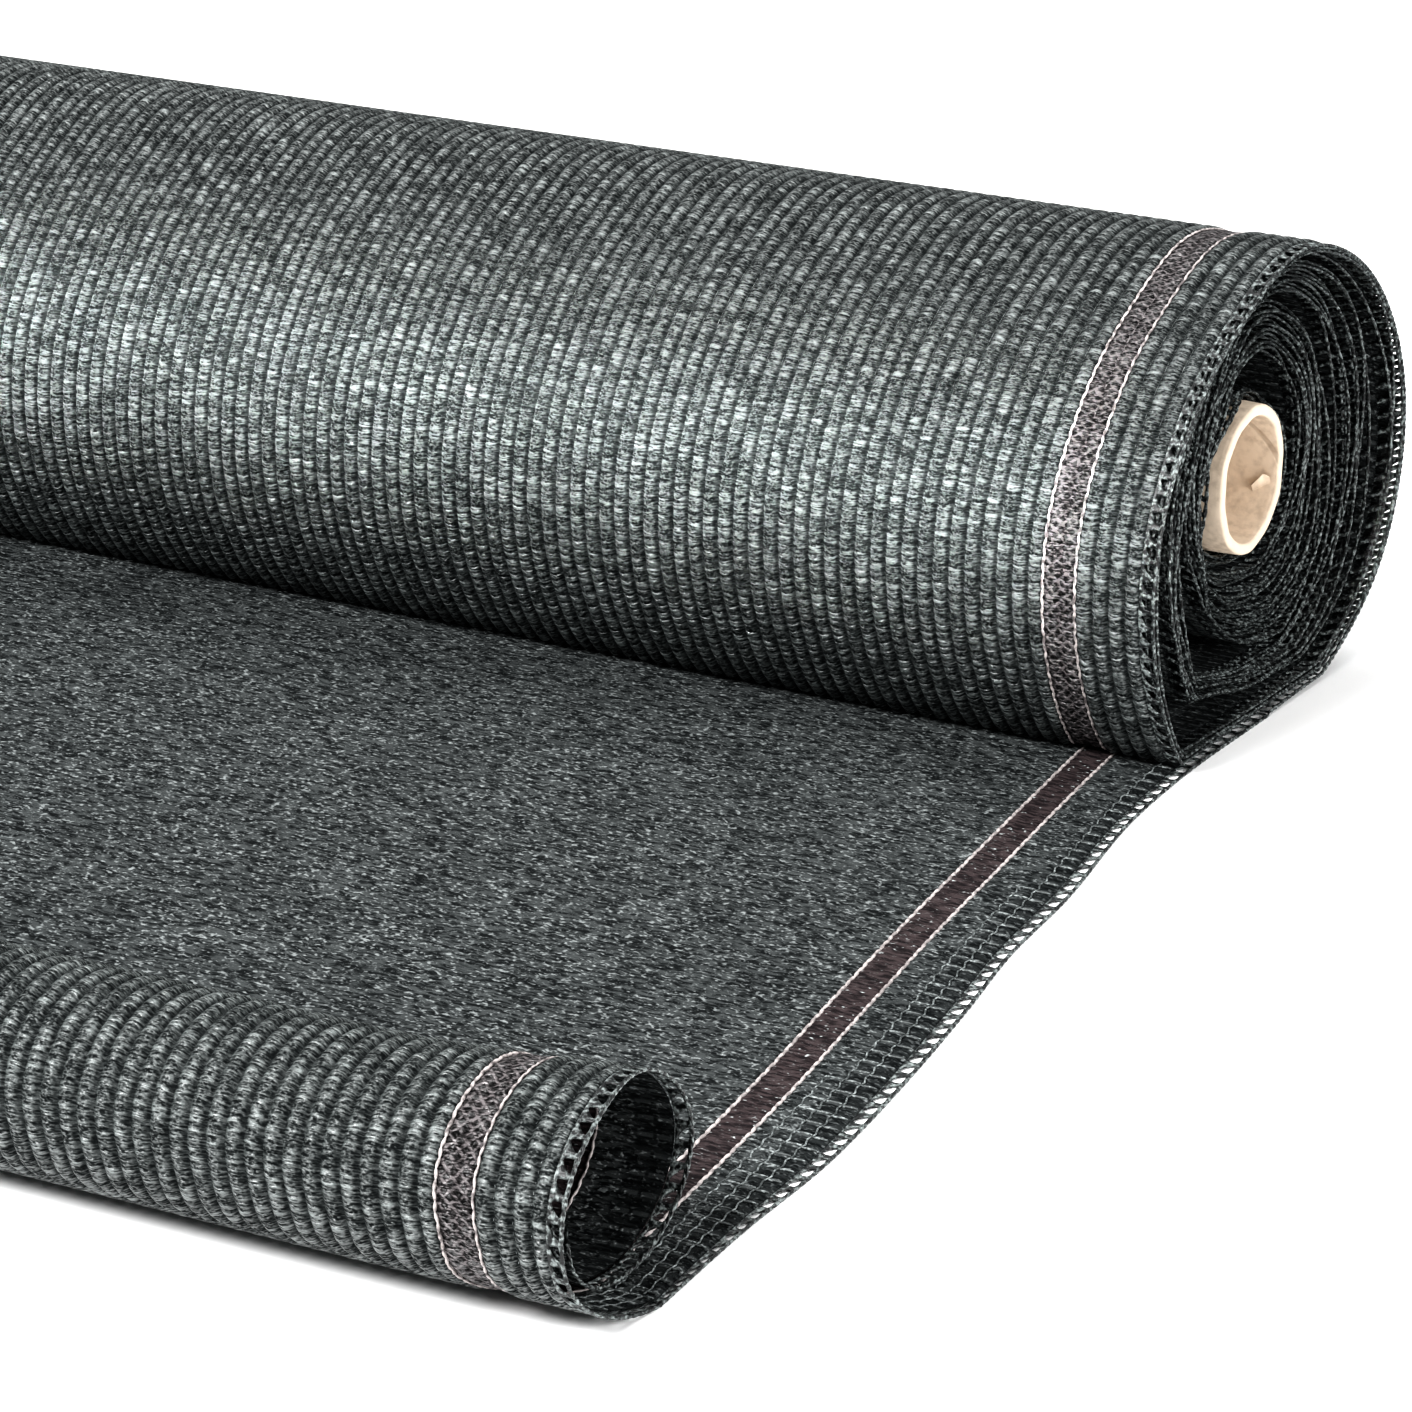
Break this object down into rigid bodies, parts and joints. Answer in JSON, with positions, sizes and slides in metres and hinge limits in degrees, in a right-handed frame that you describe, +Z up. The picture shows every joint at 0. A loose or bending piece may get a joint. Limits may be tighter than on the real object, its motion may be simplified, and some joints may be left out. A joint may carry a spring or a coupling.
{
  "type": "roll of knitted privacy screen netting",
  "caption": "Dark grey knitted privacy netting wound on a cardboard core, with a length drawn out in front of the roll and its free end curled back over itself.",
  "frame": {"origin": "middle of the bounding box's footprint, on the surface that the netting lies on", "axes": "+X along the roll's axis towards the end that shows its core, -Y towards the curled free end, +Z up"},
  "size_m": [1.0358, 0.4952, 0.1248],
  "materials": {
    "netting": "ribbed knit of dark grey plastic yarn with a soft sheen",
    "core_board": "matt spiral-wound pale brown cardboard"
  },
  "bodies": {
    "root": {"core_tube": "core_board", "wound_roll": "netting", "loose_end": "netting"}
  },
  "joints": []
}
